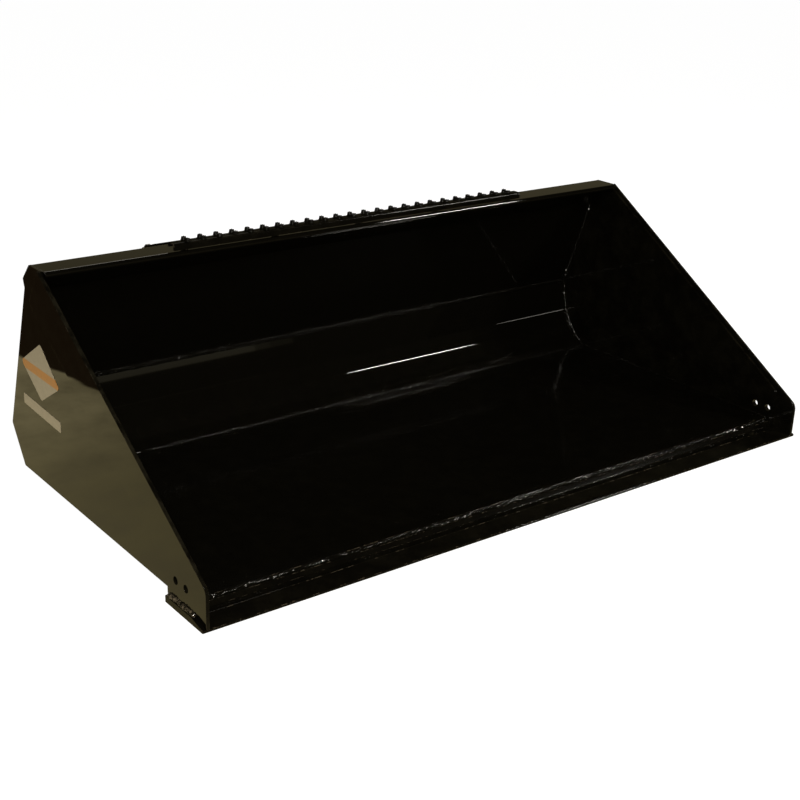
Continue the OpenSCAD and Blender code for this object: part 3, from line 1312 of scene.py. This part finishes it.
@dataclass
class Labels(SubAssembly):
    """Two plain films on the left side.

    Attributes:
        ease: Rounding of a film's edge.
        band_low: Lower edge of the amber band, as a share of the label's height.
        band_high: Its upper edge.
    """

    ease: float = 0.25 * MM
    band_low: float = 0.40
    band_high: float = 0.56

    @classmethod
    def band(cls) -> tuple[float, float]:
        """Low and high edge of the amber band along Z."""
        low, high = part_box("side_label")
        tall = high.z - low.z
        return low.z + tall * cls.band_low, low.z + tall * cls.band_high

    def build(self) -> None:
        """Builds the two films."""
        cut = PlateCut(ease=self.ease, segments=2)
        self.shop.plate("side_label_film", "side_label", cut, self.shop.paint.label, Slot.LABEL)
        self.shop.plate("side_stripe_film", "side_stripe", cut, self.shop.paint.stripe, Slot.LABEL)


@dataclass
class Spatter(SubAssembly):
    """Weld spatter frozen on the plates beside the beads.

    Attributes:
        drops: Number of drops beside each cross weld.
        clear: Nearest they fall to a cross weld.
        reach: How far from it they fall.
        inset: How far they keep from the sides.
        lip_clear: Nearest they fall to the lip plate.
        lip_reach: How far in front of it they fall.
        seed: Seed of where they fall.
    """

    drops: int = 46
    clear: float = 12.0 * MM
    reach: float = 45.0 * MM
    inset: float = 0.02
    lip_clear: float = 3.0 * MM
    lip_reach: float = 10.0 * MM
    seed: int = 11

    def build(self) -> None:
        """Builds the drops as one piece."""
        dice = random.Random(self.seed)
        low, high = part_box("floor_plate")
        up = Vector((0.0, 0.0, 1.0))
        spots = []
        for y, way in ((low.y, 1.0), (high.y, -1.0)):
            for _ in range(self.drops):
                away = self.clear + abs(dice.gauss(0.0, 0.5)) * self.reach
                x = dice.uniform(low.x + self.inset, high.x - self.inset)
                spots.append((Vector((x, y + way * away, high.z)), up))
        edge_low, edge_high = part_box("lip_plate")
        for _ in range(self.drops):
            x = dice.uniform(edge_low.x, edge_high.x)
            away = self.lip_clear + abs(dice.gauss(0.0, 0.4)) * self.lip_reach
            spots.append((Vector((x, edge_low.y - away, edge_low.z)), up))
        drops = self.shop.welder.spatter(spots)
        self.shop.bench.piece("weld_spatter", drops, self.shop.paint.weld, Slot.WELD, even=False)


# ---------------------------------------------------------------- studio

# Light of the low cards, warmer than the other lamps.
AMBER = (1.0, 0.9, 0.6)


@dataclass
class Softbox:
    """One soft light.

    Attributes:
        name: Its name.
        place: Where it hangs.
        target: What it points at.
        size: Width and height.
        power: Power in watts.
        colour: Light colour.
    """

    name: str
    place: tuple[float, float, float]
    target: tuple[float, float, float]
    size: tuple[float, float]
    power: float
    colour: tuple[float, float, float] = (1.0, 0.95, 0.86)

    def hang(self) -> None:
        """Puts the light in the scene."""
        data = bpy.data.lights.new(self.name, "AREA")
        data.shape = "RECTANGLE"
        data.size, data.size_y = self.size
        data.energy = self.power
        data.color = self.colour
        lamp = bpy.data.objects.new(self.name, data)
        aim = Vector(self.target) - Vector(self.place)
        turn = aim.to_track_quat("-Z", "Y").to_matrix().to_4x4()
        lamp.matrix_world = Matrix.Translation(self.place) @ turn
        lamp.visible_camera = False
        bpy.context.scene.collection.objects.link(lamp)


@dataclass
class Studio:
    """Pale floor, soft light and the camera.

    Attributes:
        lens: Focal length in millimetres, on a 36 mm sensor.
        shift: Camera shift across and up.
        place: Camera position.
        azimuth: Turn of the view from straight ahead, in degrees.
        elevation: Height of the view above level, in degrees.
        roll: Tilt of the picture, in degrees.
        floor_half: Half the floor's width.
        lamps: The soft lights.
    """

    lens: float = 62.06
    shift: tuple[float, float] = (0.018668, -0.020965)
    place: tuple[float, float, float] = (-2.06939, -2.57179, 1.42929)
    azimuth: float = -37.505
    elevation: float = 20.849
    roll: float = 1.883
    floor_half: float = 24.0
    lamps: list[Softbox] = field(
        default_factory=lambda: [
            Softbox("key", (-1.2, -2.6, 3.6), (0.0, 0.0, 0.2), (1.0, 0.8), 110.0),
            Softbox("high strip", (3.41, -3.0, 2.85), (0.3, 0.35, 0.1), (0.89, 0.26), 110.0),
            Softbox("beside the camera", (-2.19, -3.0, 1.58), (0.6, 0.3, 0.12), (0.46, 0.3), 70.0),
            Softbox("low card", (0.75, -3.0, 0.53), (0.75, 0.0, 0.53), (1.9, 0.135), 0.195, AMBER),
            Softbox("low card fade", (0.8, -3.0, 0.53), (0.8, 0.0, 0.53), (2.0, 0.135), 0.086, AMBER),
            Softbox("low card end", (0.875, -3.0, 0.53), (0.875, 0.0, 0.53), (2.15, 0.135), 0.055, AMBER),
            Softbox("back fill", (0.6, 3.2, 2.6), (0.0, 0.2, 0.4), (2.2, 1.0), 15.0),
        ]
    )

    def build(self) -> None:
        """Builds the studio."""
        scene = bpy.context.scene
        scene.view_settings.view_transform = "Standard"
        self._world(scene)
        self._floor()
        for lamp in self.lamps:
            lamp.hang()
        self._camera(scene)

    def _world(self, scene: bpy.types.Scene) -> None:
        """White around the camera, and a dim warm room in reflections.

        Args:
            scene: The scene to light.
        """
        world = bpy.data.worlds.new("studio")
        world.use_nodes = True
        scene.world = world
        sheet = NodeSheet(world.node_tree)
        back = world.node_tree.nodes["Background"]
        path = sheet.add("ShaderNodeLightPath")
        ray = sheet.split(sheet.add("ShaderNodeTexCoord").outputs["Generated"])
        height = sheet.ramp(ray["Z"], 0.45, 0.75)
        behind = sheet.ramp(ray["Y"], 0.15, 0.55)
        near_wall = (0.012, 0.010, 0.006, 1.0)
        far_wall = (0.12, 0.103, 0.058, 1.0)
        ceiling = (0.012, 0.010, 0.007, 1.0)
        room = sheet.blend(height, sheet.blend(behind, near_wall, far_wall), ceiling)
        white = (1.0, 1.0, 1.0, 1.0)
        sheet.join(sheet.blend(path.outputs["Is Camera Ray"], room, white), back.inputs["Color"])
        back.inputs["Strength"].default_value = 1.0

    def _floor(self) -> None:
        """A wide pale floor at the bucket's rest height."""
        mesh = bmesh.new()
        bmesh.ops.create_grid(mesh, x_segments=2, y_segments=2, size=self.floor_half)
        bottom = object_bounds()[0][2]
        bmesh.ops.translate(mesh, verts=mesh.verts, vec=(0.0, 0.0, bottom - 0.2 * MM))
        data = bpy.data.meshes.new("studio floor")
        mesh.to_mesh(data)
        mesh.free()
        floor = bpy.data.objects.new("studio_floor", data)
        bpy.context.scene.collection.objects.link(floor)
        data.materials.append(self._floor_paper_and_painted_reflection())
        floor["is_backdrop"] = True

    def _floor_paper_and_painted_reflection(self) -> bpy.types.Material:
        """Pale paper that reads white to the camera. In reflections it glows with painted light: a painted
        reflection of lit paper that ends along a ragged line beside the bucket, with painted shade beyond
        that line and in front of the bucket.

        Returns:
            The material.
        """
        material, sheet, shader = fresh_material("pale floor")
        nodes = material.node_tree.nodes
        nodes.remove(shader)
        path = sheet.add("ShaderNodeLightPath")
        where = sheet.here()
        place = sheet.split(where)
        # Painted reflection: glossy rays see the floor glow in lit paper tones up to a ragged line, with
        # painted shade beyond it and in front of the bucket.
        line_slant, line_x, line_soft, line_rag = 0.29, -1.55, 0.01, 0.12
        line = sheet.math("SUBTRACT", place["X"], sheet.times(place["Y"], line_slant))
        ragged = sheet.times(sheet.noise(where, 4.0, 3.0), line_rag)
        line = sheet.plus(line, sheet.math("SUBTRACT", ragged, line_rag / 2))
        lit = sheet.ramp(line, line_x - line_soft, line_x + line_soft)
        depth = sheet.ramp(place["Y"], 0.1, 1.0)
        near_painted_reflection = (0.42, 0.35, 0.16, 1.0)
        far_painted_reflection = (0.74, 0.62, 0.32, 1.0)
        cloudy_painted_reflection = (0.36, 0.30, 0.15, 1.0)
        front_painted_shade = (0.05, 0.042, 0.022, 1.0)
        painted_shade_beyond_line = (0.036, 0.021, 0.009, 1.0)
        lit_painted_reflection = sheet.blend(depth, near_painted_reflection, far_painted_reflection)
        cloud = sheet.ramp(sheet.noise(where, 5.0, 5.0, 0.6), 0.3, 0.75)
        lit_painted_reflection = sheet.blend(cloud, lit_painted_reflection, cloudy_painted_reflection)
        ahead = sheet.ramp(place["Y"], -0.6, -0.44)
        lit_painted_reflection = sheet.blend(ahead, front_painted_shade, lit_painted_reflection)
        seen = sheet.blend(lit, painted_shade_beyond_line, lit_painted_reflection)
        soft_white = (0.80, 0.76, 0.66, 1.0)
        # This emission carries the painted reflection for glossy rays and soft white for other rays.
        mirrored = sheet.add("ShaderNodeEmission", "seen in the paint")
        glossy = path.outputs["Is Glossy Ray"]
        sheet.join(sheet.blend(glossy, soft_white, seen), mirrored.inputs["Color"])
        matt = sheet.add("ShaderNodeBsdfDiffuse", "shaded part")
        matt.inputs["Color"].default_value = (0.8, 0.8, 0.8, 1.0)
        glow = sheet.add("ShaderNodeEmission", "even white")
        white_level, shaded_share = 1.16, 0.15
        glow.inputs["Strength"].default_value = white_level
        paper = sheet.add("ShaderNodeMixShader")
        paper.inputs[0].default_value = shaded_share
        sheet.join(glow.outputs[0], paper.inputs[1])
        sheet.join(matt.outputs[0], paper.inputs[2])
        picked = sheet.add("ShaderNodeMixShader")
        sheet.join(path.outputs["Is Camera Ray"], picked.inputs[0])
        sheet.join(mirrored.outputs[0], picked.inputs[1])
        sheet.join(paper.outputs[0], picked.inputs[2])
        sheet.join(picked.outputs[0], nodes["Material Output"].inputs["Surface"])
        return material

    def _camera(self, scene: bpy.types.Scene) -> None:
        """Sets up the camera.

        Args:
            scene: The scene it films.
        """
        data = bpy.data.cameras.new("camera")
        data.lens = self.lens
        data.sensor_width = 36.0
        data.shift_x, data.shift_y = self.shift
        data.clip_end = 100.0
        camera = bpy.data.objects.new("camera", data)
        turn, rise, tilt = (math.radians(a) for a in (self.azimuth, self.elevation, self.roll))
        back = Vector((math.sin(turn) * math.cos(rise), -math.cos(turn) * math.cos(rise), math.sin(rise)))
        level = Vector((math.cos(turn), math.sin(turn), 0.0))
        upright = back.cross(level)
        right = level * math.cos(tilt) + upright * math.sin(tilt)
        up = back.cross(right)
        axes = Matrix((right, up, back)).transposed().to_4x4()
        camera.matrix_world = Matrix.Translation(self.place) @ axes
        scene.collection.objects.link(camera)
        scene.camera = camera


def main() -> None:
    """Builds the bucket's pieces and the studio, in order."""
    logging.basicConfig(level=logging.INFO, format="%(name)s %(message)s")
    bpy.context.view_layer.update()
    shop = Workshop(Bench(), PaintShop(Labels.band()), Welder(seed=7))
    Studio().build()
    for part in (Shell, WearingFront, GripStep, QuickAttach, Spatter, Labels):
        part(shop).build()
    log.info("%d pieces made", len(shop.bench.made))


if __name__ == "__main__":
    main()
